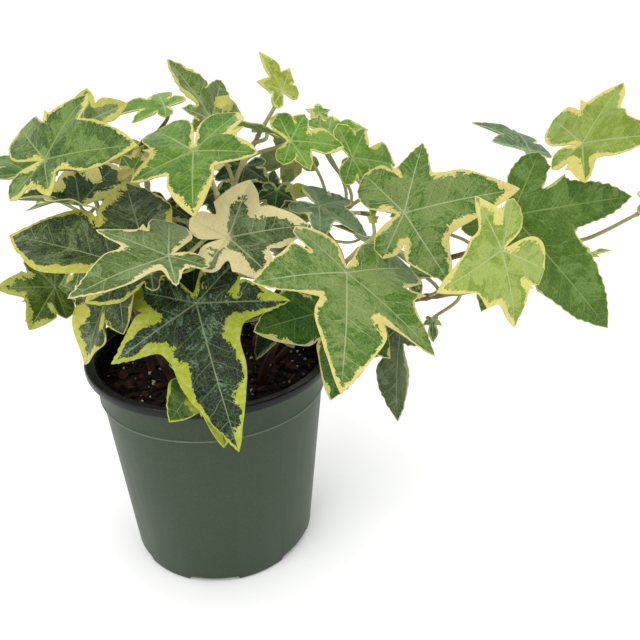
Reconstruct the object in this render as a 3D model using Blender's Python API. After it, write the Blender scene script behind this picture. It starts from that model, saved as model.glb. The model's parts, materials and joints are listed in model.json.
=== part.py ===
"""Variegated ivy in a round nursery pot: pot, soil plug and eleven leafy stems."""
import math

import bmesh
import bpy
from mathutils import Matrix, Vector, noise
from mathutils.geometry import interpolate_bezier

MM = 0.001

# What a Boolean leaves behind: edges too short and bends too slight to matter.
SHORTEST_EDGE = 0.00005
FLATTEST_BEND_DEGREES = 0.1

# Pot, metres. The lip's outside diameter is the driving size.
LIP_RADIUS = 0.057
POT_HEIGHT = 0.105
LIP_HEIGHT = 0.0035
COLLAR_RADIUS = 0.0522
RIDGE_Z = 0.0875
RIDGE_STEP = 0.0007
BASE_RADIUS = 0.0452
CORNER = 0.0018
WALL = 0.0012
FLOOR = 0.0016
POT_SIDES = 48
NOTCHES = 6
NOTCH_DEGREES = 31
NOTCH_HEIGHT = 0.003
NOTCH_DEPTH = 0.006
NOTCH_CLEARANCE = 0.002
COLLAR_DRAFT = 0.0002
# The lip's stepped rings: how far in from its edge, and how many steps down.
RING_STEP = 0.0005
RINGS = ((0.0006, 0), (0.0017, 0), (0.0018, 1), (0.0031, 1), (0.0033, 2), (0.0044, 2))

# Soil, metres
SOIL_DROP = 0.012
SOIL_GAP = 0.0003
SOIL_RELIEF = 0.0012
SOIL_RINGS = 4
SOIL_SIDES = 24
CRUMBS_PER_METRE = 120
HOLE_DEPTH = 0.016
HOLE_GAP = 0.0006
HOLE_SIDES = 8
HOLE_RISE = 0.004

# Stems and petioles, metres
STEM_RADIUS = 0.0017
STEM_TIP_RADIUS = 0.0010
STEM_SIDES = 5
STEM_STEPS = 9
PETIOLE_RADIUS = 0.0009
PETIOLE_TIP_RADIUS = 0.0004
PETIOLE_SIDES = 3
PETIOLE_STEPS = 4
PETIOLE_BOW = 0.35
# A petiole reaches its blade from behind and below, in these proportions.
FROM_BEHIND = 0.6
FROM_BELOW = 0.8

# Leaf blades, metres and ratios
BLADE = 0.0007
ROOT_DEPTH = 0.0003
SPREAD = (57, 115)
IVY_LOBES = (0.52, 0.8, 1.0, 0.8, 0.52)
RIB_POINT = 0.52
DEEP_SINUS = 0.57
SHALLOW_SINUS = 0.80
SINUS_LEAN = 0.2
BASE_NOTCH = 0.07
LIFT = 0.10
SHOULDERS = {"smooth": ((0.60, 0.28), (0.83, 0.16)),
             "sharp": ((0.56, 0.21), (0.83, 0.09)),
             "toothed": ((0.46, 0.27), (0.54, 0.21), (0.76, 0.20), (0.82, 0.12)),
             "small": ((0.62, 0.23),)}
ROUND_SHOULDERS = ((0.50, 0.34), (0.84, 0.27))


def leaf(along, at, heading, pitch, roll, lobes, spread=SPREAD, edge="smooth", curl=0.14, fold=0.08):
    """One leaf: share of the stem where its petiole leaves, blade base in mm, turns in degrees, lobes in mm."""
    if not isinstance(lobes, tuple):
        lobes = tuple(lobes * share for share in IVY_LOBES)
    return {"along": along, "at": at, "turn": (heading, pitch, roll), "lobes": lobes,
            "spread": spread, "edge": edge, "curl": curl, "fold": fold}


# Each stem: its route in mm from the foot of its hole, and its leaves. +X is right, -Y is the front.
# Lobes run from the left base lobe, past the tip, to the right base lobe, seen from above with the tip away.
STEMS = {
    "stem_left": {
        "route": ((-28, -6, 80), (-28, -6, 96), (-33, -7, 125), (-39, -4, 150), (-43, 0, 168), (-45, -2, 184)),
        "leaves": (
            leaf(0.97, (-47, -35, 197), -18, 16, 43, (27, 30, 37, 18, 19), (67, 133)),
            leaf(0.74, (-41, -25, 178), -172, 14, -5, (14, 22, 23, 22, 28), (71, 108), fold=0.5),
            leaf(0.12, (-60, -18, 141), -140, 18, -42, (15, 23, 22, 18, 13), (57, 100)),
            leaf(0.62, (-69, 0, 184), 150, 20, -10, 22, edge="toothed"),
            leaf(0.34, (-61, -1, 133), -172, -25, -8, 27),
            leaf(0.92, (-43, 4, 181), -60, -25, 0, 15, edge="small"),
        )},
    "stem_front_left": {
        "route": ((-14, -22, 80), (-14, -22, 96), (-20, -26, 120), (-25, -29, 140), (-24, -32, 153), (-15, -39, 163)),
        "leaves": (
            leaf(0.55, (-28, -29, 153), -150, -55, -10, (18, 28, 42, 35, 18), (50, 120)),
            leaf(0.85, (-10, -50, 160), 172, 18, -28, (20, 27, 55, 48, 22), (54, 120)),
        )},
    "stem_front": {
        "route": ((8, -22, 80), (8, -22, 96), (9, -26, 120), (11, -28, 145), (12, -28, 166), (12, -29, 184)),
        "leaves": (
            leaf(0.22, (5, -46, 117), -64, -27, -26, (14, 22, 31, 25, 14)),
            leaf(0.42, (4, -45, 146), -66, -45, 27, (24, 36, 57, 39, 26), (72, 120), edge="sharp", curl=0.1),
            leaf(0.78, (17, -40, 170), 15, 8, 46, (16, 26, 31, 24, 16), (58, 138)),
            leaf(0.98, (7, -40, 201), -86, -27, 15, (24, 24, 28, 24, 27), (72, 140)),
            leaf(0.30, (36, -24, 130), -140, -35, 0, 21),
            leaf(0.74, (0, -62, 171), -130, 2, -20, (14, 16, 36, 26, 23), (62, 128), edge="sharp"),
            leaf(0.62, (9, -13, 180), -75, -40, 0, 15, edge="small"),
            leaf(0.50, (0, -16, 161), -100, -45, 0, 13, edge="small"),
        )},
    "stem_middle": {
        "route": ((4, -4, 80), (4, -4, 96), (5, -6, 125), (9, -6, 155), (16, -4, 182), (26, -3, 200)),
        "leaves": (
            leaf(0.72, (9, -10, 207), 160, 58, -12, (12, 13, 27, 22, 18), (54, 95), edge="toothed"),
            leaf(0.92, (30, -12, 203), 175, 18, 20, (8, 13, 17, 12, 8), edge="small"),
            leaf(1.00, (36, -5, 217), 166, 64, -24, (9, 12, 16, 12, 9), edge="small"),
            leaf(0.84, (39, -9, 199), 10, -3, 42, (14, 15, 22, 15, 12), (63, 108)),
            leaf(0.60, (28, 3, 174), 78, 42, 0, 15, edge="small"),
            leaf(0.50, (42, -8, 166), 176, 2, -12, 16, edge="small"),
            leaf(0.60, (18, 14, 184), -100, -35, 0, 18),
            leaf(0.62, (33, -7, 179), -95, -35, 0, 13, edge="small"),
        )},
    "stem_centre_left": {
        "route": ((-14, 4, 80), (-14, 4, 96), (-17, 4, 125), (-21, 6, 155), (-24, 10, 178), (-21, 13, 194)),
        "leaves": (
            leaf(1.00, (-13, 10, 209), 166, -3, -17, (10, 16, 27, 18, 11)),
            leaf(0.74, (-24, -9, 187), 60, 50, 0, 15, edge="small"),
            leaf(0.88, (-4, 3, 201), -155, -8, 0, (12, 16, 22, 18, 14)),
            leaf(0.92, (-46, 5, 203), 17, 26, 50, 20),
            leaf(0.80, (-33, 16, 188), 110, 40, 0, 13, edge="small"),
            leaf(0.60, (-36, 8, 172), 130, 25, 0, 19),
            leaf(0.40, (-5, -12, 150), -90, -15, 0, 18),
            leaf(0.66, (-14, -1, 172), -95, -35, 0, 19),
        )},
    "stem_right_front": {
        "route": ((24, -14, 80), (24, -14, 96), (34, -19, 120), (48, -22, 138), (60, -20, 152), (72, -16, 162)),
        "leaves": (
            leaf(0.40, (60, -31, 138), -95, -32, -33, (18, 28, 39, 42, 30)),
            leaf(0.66, (60, -49, 160), -90, -16, -27, (39, 43, 52, 41, 26), (56, 126)),
            leaf(0.86, (83, -22, 174), -15, 20, 50, (26, 30, 43, 35, 20), (68, 123)),
            leaf(0.74, (50, -2, 171), -18, -21, 8, (17, 21, 24, 22, 15), (66, 122), edge="toothed"),
            leaf(1.00, (72, -12, 168), 90, 60, 0, (5, 6, 8, 6, 5), edge="small"),
        )},
    "stem_right": {
        "route": ((30, 0, 80), (30, 0, 96), (46, -4, 114), (72, -12, 128), (95, -17, 136), (117, -20, 141),
                  (140, -20, 148), (157, -18, 153)),
        "leaves": (
            leaf(0.42, (84, -25, 126), -107, -58, 42, (10, 14, 39, 24, 12), edge="toothed"),
            leaf(0.30, (71, -7, 110), -115, -20, 0, 15, edge="small"),
            leaf(0.50, (115, -48, 168), -142, -18, -74, (26, 31, 30, 23, 19), (82, 135)),
            leaf(0.66, (128, -12, 170), -34, -39, 52, (28, 48, 60, 41, 21), (58, 116), edge="toothed"),
            leaf(0.54, (88, -14, 147), -60, -50, 20, 13, edge="small"),
            leaf(0.60, (99, -14, 124), -90, -40, 0, 8, edge="small"),
            leaf(1.00, (160, -18, 155), 10, 20, 0, (5, 6, 9, 6, 5), edge="small"),
        )},
    "stem_far_right": {
        "route": ((28, 14, 80), (28, 14, 96), (56, 16, 118), (92, 14, 136), (128, 13, 147), (152, 11, 150),
                  (168, 6, 154), (185, 0, 167)),
        "leaves": (
            leaf(0.72, (148, -20, 200), -54, 18, 54, (24, 26, 27, 18, 14), (71, 140)),
            leaf(0.64, (140, 14, 191), 148, 27, 2, 28),
            leaf(1.00, (190, -4, 171), -20, -15, 10, 26),
            leaf(0.46, (100, 24, 158), 70, -10, 0, 34),
        )},
    "stem_back_right": {
        "route": ((18, 20, 80), (18, 20, 96), (30, 28, 120), (46, 34, 142), (62, 36, 158), (74, 36, 166)),
        "leaves": (
            leaf(0.90, (64, 8, 189), 34, -11, 66, (15, 16, 28, 15, 13)),
            leaf(0.80, (54, 20, 198), 25, 5, 20, (12, 14, 20, 12, 10)),
            leaf(0.74, (50, 11, 206), 95, 35, 0, 8, edge="small"),
            leaf(0.35, (44, 52, 124), 60, -35, 0, 38),
            leaf(0.50, (72, 50, 140), 30, -25, 0, 38),
            leaf(0.62, (56, 60, 150), 80, -15, 0, 34),
            leaf(0.60, (42, 30, 186), -172, -10, 60, 24),
            leaf(0.98, (88, 46, 164), 40, -5, 0, 30),
        )},
    "stem_back": {
        "route": ((0, 24, 80), (0, 24, 96), (2, 32, 120), (6, 38, 142), (8, 40, 160), (10, 40, 172)),
        "leaves": (
            leaf(0.30, (-4, 54, 120), 105, -40, 0, 40),
            leaf(0.45, (20, 58, 134), 65, -28, 0, 40),
            leaf(0.60, (-8, 60, 148), 120, -20, 0, 38),
            leaf(0.75, (16, 60, 162), 75, -12, 0, 34),
            leaf(0.90, (-4, 46, 176), 110, 0, 0, 30),
            leaf(1.00, (37, 20, 168), 175, 8, -20, (18, 18, 24, 14, 14)),
        )},
    "stem_back_left": {
        "route": ((-20, 20, 80), (-20, 20, 96), (-26, 26, 120), (-34, 30, 144), (-38, 32, 164), (-38, 34, 178)),
        "leaves": (
            leaf(0.30, (-38, 42, 122), 130, -38, 0, 40),
            leaf(0.45, (-58, 32, 140), 150, -25, 0, 38),
            leaf(0.60, (-40, 54, 152), 115, -18, 0, 38),
            leaf(0.75, (-60, 36, 166), 155, -8, 0, 36),
            leaf(0.90, (-38, 46, 182), 105, 0, 0, 30),
            leaf(1.00, (-52, 20, 190), 175, 12, 0, 26),
        )},
}


def clear_scene():
    for item in list(bpy.data.objects):
        bpy.data.objects.remove(item, do_unlink=True)


def principled(name, colour, roughness):
    """A plain Principled BSDF with a colour and a roughness."""
    material = bpy.data.materials.new(name)
    material.use_nodes = True
    shader = material.node_tree.nodes["Principled BSDF"]
    shader.inputs["Base Color"].default_value = (*colour, 1.0)
    shader.inputs["Roughness"].default_value = roughness
    material.diffuse_color = (*colour, 1.0)
    return material


def place(name, mesh, material, smooth=False):
    """Link a mesh as a named object with one material."""
    mesh.materials.clear()
    mesh.materials.append(material)
    if smooth:
        mesh.shade_smooth()
        mesh.set_sharp_from_angle(angle=math.radians(30))
    piece = bpy.data.objects.new(name, mesh)
    bpy.context.scene.collection.objects.link(piece)
    return piece


def turned(profile, sides):
    """Turn a profile of (radius, height) points round the Z axis into a closed body."""
    shape = bmesh.new()
    points = [shape.verts.new((radius, 0, height)) for radius, height in profile]
    edges = [shape.edges.new(pair) for pair in zip(points, points[1:])]
    bmesh.ops.spin(shape, geom=points + edges, cent=(0, 0, 0), axis=(0, 0, 1),
                   angle=math.tau, steps=sides, use_merge=True)
    bmesh.ops.remove_doubles(shape, verts=shape.verts[:], dist=1e-6)
    bmesh.ops.recalc_face_normals(shape, faces=shape.faces[:])
    return shape


def as_mesh(shape, name):
    mesh = bpy.data.meshes.new(name)
    bmesh.ops.triangulate(shape, faces=shape.faces[:])
    shape.to_mesh(mesh)
    shape.free()
    return mesh


def evaluated(piece):
    """The mesh of an object with its modifiers applied."""
    graph = bpy.context.evaluated_depsgraph_get()
    return bpy.data.meshes.new_from_object(piece.evaluated_get(graph))


def combine(name, base, others, operation, solver="EXACT"):
    """One Boolean with every mesh in others, through a collection that is then removed."""
    tools = bpy.data.collections.new(name + " tools")
    bpy.context.scene.collection.children.link(tools)
    pieces = [bpy.data.objects.new(name, mesh) for mesh in others]
    for piece in pieces:
        tools.objects.link(piece)
    body = bpy.data.objects.new(name, base)
    bpy.context.scene.collection.objects.link(body)
    boolean = body.modifiers.new(operation.lower(), "BOOLEAN")
    boolean.operation = operation
    boolean.operand_type = "COLLECTION"
    boolean.collection = tools
    boolean.solver = solver
    result = evaluated(body)
    for piece in pieces + [body]:
        bpy.data.objects.remove(piece, do_unlink=True)
    bpy.data.collections.remove(tools)
    return cleaned(result, name)


def neighbours(vert):
    return {edge.other_vert(vert) for edge in vert.link_edges}


def cleaned(mesh, name):
    """Join flat neighbouring faces again, then collapse the shortest edges where the surface stays closed."""
    shape = bmesh.new()
    shape.from_mesh(mesh)
    bmesh.ops.dissolve_limit(shape, angle_limit=math.radians(FLATTEST_BEND_DEGREES),
                             verts=shape.verts[:], edges=shape.edges[:])
    bmesh.ops.triangulate(shape, faces=shape.faces[:])
    merging = True
    while merging:
        merging = False
        short = [edge for edge in shape.edges if edge.calc_length() < SHORTEST_EDGE]
        for edge in sorted(short, key=lambda item: item.calc_length()):
            first, second = edge.verts
            if len(neighbours(first) & neighbours(second)) == 2:
                middle = (first.co + second.co) / 2
                bmesh.ops.pointmerge(shape, verts=[first, second], merge_co=middle)
                merging = True
                break
    return as_mesh(shape, name)


def wall_radius(height):
    """Outside of the tapered wall below the ridge."""
    top = COLLAR_RADIUS - RIDGE_STEP
    return BASE_RADIUS + (top - BASE_RADIUS) * height / RIDGE_Z


def pot():
    """The moulded pot: floor, tapered wall, ridge, collar and a lip with stepped rings."""
    under = POT_HEIGHT - LIP_HEIGHT
    inside = COLLAR_RADIUS - WALL
    rings = [(LIP_RADIUS - inwards, POT_HEIGHT - RING_STEP * steps) for inwards, steps in RINGS]
    profile = [(0, 0), (BASE_RADIUS - CORNER, 0), (BASE_RADIUS, CORNER),
               (wall_radius(RIDGE_Z), RIDGE_Z - RIDGE_STEP), (COLLAR_RADIUS - COLLAR_DRAFT, RIDGE_Z),
               (COLLAR_RADIUS, under), (LIP_RADIUS - RING_STEP, under),
               (LIP_RADIUS, POT_HEIGHT - 2 * RING_STEP), *rings, (inside, under - RING_STEP),
               (wall_radius(RIDGE_Z) - WALL, RIDGE_Z - RIDGE_STEP), (BASE_RADIUS - WALL, FLOOR), (0, FLOOR)]
    body = as_mesh(turned(profile, POT_SIDES), "pot")
    return combine("pot", body, [notch(place) for place in range(NOTCHES)], "DIFFERENCE")


def notch(place):
    """Cutter for one drain notch at the bottom corner; the first one faces the front."""
    inner = BASE_RADIUS - NOTCH_DEPTH
    outer = BASE_RADIUS + NOTCH_CLEARANCE
    width = 2 * BASE_RADIUS * math.sin(math.radians(NOTCH_DEGREES / 2))
    cutter = bmesh.new()
    bmesh.ops.create_cube(cutter, size=1)
    bmesh.ops.scale(cutter, verts=cutter.verts[:], vec=(outer - inner, width, 2 * NOTCH_HEIGHT))
    bmesh.ops.translate(cutter, verts=cutter.verts[:], vec=((outer + inner) / 2, 0, 0))
    spin = Matrix.Rotation(math.radians(-90 + place * 360 / NOTCHES), 3, "Z")
    bmesh.ops.rotate(cutter, verts=cutter.verts[:], cent=(0, 0, 0), matrix=spin)
    return as_mesh(cutter, "notch")


def soil():
    """The peat plug: a turned body with a crumbled top and a plain hole for each stem."""
    top = POT_HEIGHT - SOIL_DROP
    bottom = FLOOR + SOIL_GAP
    gap = WALL + SOIL_GAP
    rim = wall_radius(RIDGE_Z) - gap
    rings = [(rim * ring / SOIL_RINGS, top) for ring in range(SOIL_RINGS, -1, -1)]
    rings[0] = (rim, top - 2 * SOIL_RELIEF)
    profile = [(0, bottom), (BASE_RADIUS - gap, bottom), (rim, RIDGE_Z - 2 * RIDGE_STEP), *rings]
    plug = turned(profile, SOIL_SIDES)
    for vert in plug.verts:
        if vert.co.z > top - SOIL_RELIEF:
            vert.co.z += SOIL_RELIEF * noise.noise(vert.co * CRUMBS_PER_METRE)
    holes = [hole(Vector(stem["route"][0]) * MM) for stem in STEMS.values()]
    return combine("soil", as_mesh(plug, "soil"), holes, "DIFFERENCE")


def hole(foot):
    """Cutter for a stem's hole: a plain cylinder from just under the stem's foot."""
    cutter = bmesh.new()
    depth = HOLE_DEPTH + HOLE_RISE
    bmesh.ops.create_cone(cutter, cap_ends=True, segments=HOLE_SIDES, depth=depth,
                          radius1=STEM_RADIUS + HOLE_GAP, radius2=STEM_RADIUS + HOLE_GAP)
    middle = foot + Vector((0, 0, depth / 2 - SOIL_GAP))
    bmesh.ops.translate(cutter, verts=cutter.verts[:], vec=middle)
    return as_mesh(cutter, "hole")


def smooth_route(points, share):
    """Point at a share of a smooth curve through the route's points."""
    place = min(share, 0.9999) * (len(points) - 1)
    index = int(place)
    blend = place - index
    before = points[max(index - 1, 0)]
    start = points[index]
    end = points[index + 1]
    after = points[min(index + 2, len(points) - 1)]
    bow_in = (end - before) / 2
    bow_out = (after - start) / 2
    square = blend * blend
    cube = square * blend
    return ((2 * cube - 3 * square + 1) * start + (cube - 2 * square + blend) * bow_in
            + (3 * square - 2 * cube) * end + (cube - square) * bow_out)


def tube(points, radii, sides):
    """A closed rod through the points: a disc extruded from point to point without twist."""
    shape = bmesh.new()
    ahead = (points[1] - points[0]).normalized()
    turn = ahead.to_track_quat("Z", "Y")
    bmesh.ops.create_circle(shape, cap_ends=True, segments=sides, radius=radii[0])
    for vert in shape.verts:
        vert.co = points[0] + turn @ vert.co
    cap = shape.faces[:][0]
    for number in range(1, len(points)):
        before = points[number - 1]
        after = points[min(number + 1, len(points) - 1)]
        bent = (after - before).normalized()
        swing = ahead.rotation_difference(bent)
        ahead = bent
        end = bmesh.ops.extrude_face_region(shape, geom=[cap])["geom"]
        if number > 1:
            bmesh.ops.delete(shape, geom=[cap], context="FACES_ONLY")
        cap = next(item for item in end if isinstance(item, bmesh.types.BMFace))
        for vert in cap.verts:
            vert.co = points[number] + swing @ (vert.co - before) * (radii[number] / radii[number - 1])
    return facing_out(shape, "rod")


def facing_out(shape, name):
    """Finish a closed shape with its faces pointing outwards."""
    bmesh.ops.recalc_face_normals(shape, faces=shape.faces[:])
    if shape.calc_volume(signed=True) < 0:
        bmesh.ops.reverse_faces(shape, faces=shape.faces[:])
    return as_mesh(shape, name)


def stem_rod(route):
    """The stem: straight down into its hole, then along its route with a slight taper."""
    points = [route[0]] + [smooth_route(route[1:], step / STEM_STEPS) for step in range(STEM_STEPS + 1)]
    thinner = (STEM_TIP_RADIUS - STEM_RADIUS) / STEM_STEPS
    radii = [STEM_RADIUS] + [STEM_RADIUS + thinner * step for step in range(STEM_STEPS + 1)]
    return tube(points, radii, STEM_SIDES)


def leaf_axes(heading, pitch, roll):
    """Unit vectors of a leaf: to its right, towards its tip, and out of its upper face."""
    heading, pitch, roll = (math.radians(angle) for angle in (heading, pitch, roll))
    forward = Vector((math.cos(pitch) * math.cos(heading), math.cos(pitch) * math.sin(heading), math.sin(pitch)))
    level = forward.cross(Vector((0, 0, 1))).normalized()
    right = math.cos(roll) * level - math.sin(roll) * level.cross(forward)
    return right, forward, right.cross(forward)


def blade_height(x, y, spec):
    """Height of the blade over its flat plane: valleys on the ribs, a fold, and tips that curl down."""
    reach = math.hypot(x, y)
    side = abs(math.degrees(math.atan2(x, y)))
    first, last = spec["spread"]
    if side < first:
        share = side / first
    elif side < last:
        share = (side - first) / (last - first)
    else:
        share = 0.5 * (side - last) / (180 - last)
    lift = LIFT * reach * math.sin(math.pi * share) ** 2
    return lift + spec["fold"] * abs(x) - spec["curl"] * reach * reach / max(spec["lobes"])


def blade(spec):
    """A lobed blade: each half lobe is a fan from its rib, and the underside repeats the same triangles."""
    right, forward, up = leaf_axes(*spec["turn"])
    base = Vector(spec["at"])
    angles = (-spec["spread"][1], -spec["spread"][0], 0, *spec["spread"])
    lobes = spec["lobes"]
    shape = bmesh.new()

    def spot(degrees, reach, aside=0.0):
        turn = math.radians(degrees)
        x = math.sin(turn) * reach + math.cos(turn) * aside
        y = math.cos(turn) * reach - math.sin(turn) * aside
        point = base + x * right + y * forward + blade_height(x, y, spec) * up
        return shape.verts.new(point * MM)

    centre = spot(0, 0)
    back = spot(180, BASE_NOTCH * max(lobes))
    dips = [back]
    for number, depth in enumerate((SHALLOW_SINUS, DEEP_SINUS, DEEP_SINUS, SHALLOW_SINUS)):
        shorter, longer = sorted(lobes[number:number + 2])
        reach = depth * (shorter + SINUS_LEAN * (longer - shorter))
        dips.append(spot((angles[number] + angles[number + 1]) / 2, reach))
    dips.append(back)
    for number, (angle, length) in enumerate(zip(angles, lobes)):
        rib = spot(angle, RIB_POINT * length)
        tip = spot(angle, length)
        outline = ROUND_SHOULDERS if number in (0, 4) else SHOULDERS[spec["edge"]]
        for side, dip in ((-1, dips[number]), (1, dips[number + 1])):
            shoulders = [spot(angle, out * length, side * aside * length) for out, aside in outline]
            edge = [centre, dip, *shoulders, tip]
            for first, second in zip(edge, edge[1:]):
                shape.faces.new((rib, first, second) if side < 0 else (rib, second, first))
    bmesh.ops.recalc_face_normals(shape, faces=shape.faces[:])
    under = bmesh.ops.extrude_face_region(shape, geom=shape.faces[:])["geom"]
    verts = [item for item in under if isinstance(item, bmesh.types.BMVert)]
    bmesh.ops.translate(shape, verts=verts, vec=-BLADE * up)
    return facing_out(shape, "blade")


def petiole(spec, route):
    """The leaf's stalk: out of the stem's middle, and into the blade from below and behind."""
    forward, up = leaf_axes(*spec["turn"])[1:]
    start = smooth_route(route[1:], spec["along"])
    ahead = smooth_route(route[1:], min(spec["along"] + 0.02, 1)) - smooth_route(route[1:], spec["along"] - 0.02)
    end = Vector(spec["at"]) * MM - ROOT_DEPTH * up
    span = (end - start).length
    leave = start + PETIOLE_BOW * span * (ahead.normalized() + (end - start).normalized()).normalized()
    arrive = end - PETIOLE_BOW * span * (FROM_BEHIND * forward + FROM_BELOW * up)
    points = interpolate_bezier(start, leave, arrive, end, PETIOLE_STEPS + 1)
    radii = [PETIOLE_RADIUS] * PETIOLE_STEPS + [PETIOLE_TIP_RADIUS]
    return tube(points, radii, PETIOLE_SIDES)


def leafy_stem(name, stem):
    """A stem with its petioles and blades, fused into one body."""
    route = [Vector(point) * MM for point in stem["route"]]
    parts = []
    for spec in stem["leaves"]:
        parts.append(petiole(spec, route))
        parts.append(blade(spec))
    return combine(name, stem_rod(route), parts, "UNION", "MANIFOLD")


def build():
    clear_scene()
    place("pot", pot(), principled("pot green", (0.10, 0.15, 0.11), 0.45), smooth=True)
    place("soil", soil(), principled("peat", (0.012, 0.009, 0.008), 0.95))
    green = principled("ivy leaf", (0.12, 0.25, 0.04), 0.5)
    for name, stem in STEMS.items():
        place(name, leafy_stem(name, stem), green)


if __name__ == "__main__":
    build()
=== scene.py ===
import functools
import json
import math
import random

import bmesh
import bpy
from mathutils import Matrix, Vector, kdtree, noise
from mathutils.geometry import interpolate_bezier

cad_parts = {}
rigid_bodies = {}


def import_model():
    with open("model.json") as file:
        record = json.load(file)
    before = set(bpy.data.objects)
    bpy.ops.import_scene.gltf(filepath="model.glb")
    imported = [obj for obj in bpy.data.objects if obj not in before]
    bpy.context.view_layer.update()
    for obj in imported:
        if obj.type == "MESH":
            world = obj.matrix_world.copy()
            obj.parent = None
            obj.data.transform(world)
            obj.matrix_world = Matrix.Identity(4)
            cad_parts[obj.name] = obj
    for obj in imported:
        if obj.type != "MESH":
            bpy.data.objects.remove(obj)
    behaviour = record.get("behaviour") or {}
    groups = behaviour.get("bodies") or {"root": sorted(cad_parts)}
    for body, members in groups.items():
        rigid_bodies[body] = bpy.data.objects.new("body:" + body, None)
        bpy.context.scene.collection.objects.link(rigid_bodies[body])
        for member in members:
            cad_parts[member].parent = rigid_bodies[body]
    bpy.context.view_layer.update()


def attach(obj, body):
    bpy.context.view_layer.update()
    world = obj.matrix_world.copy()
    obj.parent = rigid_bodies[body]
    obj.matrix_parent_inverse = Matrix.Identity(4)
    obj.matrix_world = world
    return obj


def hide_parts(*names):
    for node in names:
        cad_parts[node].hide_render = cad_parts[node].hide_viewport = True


# A variegated ivy in a round nursery pot: the finish of every surface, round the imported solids.
# Places in the tables are in mm from the middle of the pot's underside: +X right, -Y front, +Z up.

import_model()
mm = 0.001
nodeModes = {"Math": "operation", "VectorMath": "operation", "MapRange": "interpolation_type",
             "Mix": "data_type"}


def linear(hexColour):  # sRGB hex to linear, with alpha
    channels = [int(hexColour[place:place + 2], 16) / 255 for place in (0, 2, 4)]
    return (*[c / 12.92 if c <= 0.04045 else ((c + 0.055) / 1.055) ** 2.4 for c in channels], 1.0)


def fill(made, inputs):  # give a node's inputs, by name or place, a value or another node's output
    for name, value in inputs.items():
        socket = made.inputs[name.replace("_", " ") if isinstance(name, str) else name]
        if isinstance(value, bpy.types.NodeSocket):
            made.id_data.links.new(value, socket)
        else:
            socket.default_value = value


# Adds a node of this kind, with its mode after a dot. Values go to its inputs in use, in their order. A name
# with a capital is an input too, any other a setting. Returns the output named, or else the first in use.
def node(tree, kind, *values, out=None, **named):
    kind, _, mode = kind.partition(".")
    made = tree.nodes.new("ShaderNode" + kind)
    if mode:
        setattr(made, nodeModes[kind], mode)
    for name in filter(str.islower, named):
        setattr(made, name, named[name])
    used = [place for place, socket in enumerate(made.inputs) if socket.enabled]
    fill(made, dict(zip(used, values)) | {name: named[name] for name in named if not name.islower()})
    return made.outputs[out] if out else next(socket for socket in made.outputs if socket.enabled)


def newMaterial(name, **fixed):  # a material, what adds a node to it, and its shader with these values
    material = bpy.data.materials.new(name)
    material.use_nodes = True
    shader = material.node_tree.nodes["Principled BSDF"]
    fill(shader, fixed)
    return material, functools.partial(node, material.node_tree), shader


def toMesh(name, shape, materials=()):
    mesh = bpy.data.meshes.new(name)
    shape.to_mesh(mesh)
    shape.free()
    for material in materials:
        mesh.materials.append(material)
    return mesh


def facesOf(verts):
    return list(dict.fromkeys(face for vert in verts for face in vert.link_faces))


def toScene(name, data):
    made = bpy.data.objects.new(name, data)
    bpy.context.scene.collection.objects.link(made)
    return made


def finishPiece(name, shape, materials, slot, *nodes, sharp):  # bmesh to a piece that rides on the frame
    mesh = toMesh(name, shape, materials)
    mesh.shade_smooth()
    mesh.set_sharp_from_angle(angle=math.radians(sharp))
    piece = toScene(name, mesh)
    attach(piece, "root")
    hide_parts(*nodes)


# Stage: camera, floor and light

cameraView = {"place": (0.0504, -0.2594, 0.2435), "tiltDegrees": 64, "lens": 35.4, "sensor": 36,
              "nearest": 0.01}
studio = {"floorSize": 12, "floorColour": "fefefe", "skyColour": "ffffff", "skyFront": 0.42, "skyBack": 1.4,
          "keyPlace": (-0.55, -0.75, 1.05), "keySize": 0.9, "keyWatts": 9,
          "fillPlace": (0.95, -0.6, 0.6), "fillSize": 1, "fillWatts": 4.2, "aim": (0.05, 0, 0.12)}


def makeStage():
    camera = toScene("camera", bpy.data.cameras.new("camera"))
    camera.location = cameraView["place"]
    camera.rotation_euler = (math.radians(cameraView["tiltDegrees"]), 0, 0)
    camera.data.lens = cameraView["lens"]
    camera.data.sensor_width = cameraView["sensor"]
    camera.data.clip_start = cameraView["nearest"]
    bpy.context.scene.camera = camera
    for part in ("key", "fill"):
        lamp = toScene(part, bpy.data.lights.new(part, "AREA"))
        lamp.location = studio[part + "Place"]
        way = Vector(studio["aim"]) - lamp.location
        lamp.rotation_euler = way.to_track_quat("-Z", "Y").to_euler()
        lamp.data.size = studio[part + "Size"]
        lamp.data.energy = studio[part + "Watts"]
    world = bpy.data.worlds.new("studio")
    world.use_nodes = True
    add = functools.partial(node, world.node_tree)
    facing = add("TexCoord", out="Generated")
    depth = add("SeparateXYZ", facing, out="Y")  # a white room, dimmer behind the camera
    glow = add("MapRange", depth, -0.75, 0.25, studio["skyFront"], studio["skyBack"])
    seen = add("LightPath", out="Is Camera Ray")  # the backdrop itself is white from every side
    fill(world.node_tree.nodes["Background"],
         {"Color": linear(studio["skyColour"]), "Strength": add("Math.MAXIMUM", glow, seen)})
    bpy.context.scene.world = world
    bpy.context.scene.view_settings.view_transform = "Standard"
    # Matt photographic paper: pale, without gloss, with a faint unevenness
    material, add, shader = newMaterial("paperBackdropMatt", Roughness=0.9, Specular_IOR_Level=0.2)
    cloud = add("TexNoise", add("TexCoord", out="Object"), 3, 2)
    tone = add("MapRange", cloud, 0, 1, 0.992, 1)
    paper = add("Mix.RGBA", 1, linear(studio["floorColour"]), tone, blend_type="MULTIPLY")
    fill(shader, {"Base Color": paper})
    shape = bmesh.new()
    bmesh.ops.create_grid(shape, x_segments=8, y_segments=8, size=studio["floorSize"] / 2)
    floor = toScene("floor", toMesh("floor", shape, [material]))


makeStage()
print("stage: camera, floor and light")


# Pot: one moulding, green outside and black inside and on the lip, turned from its wall's profile

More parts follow.
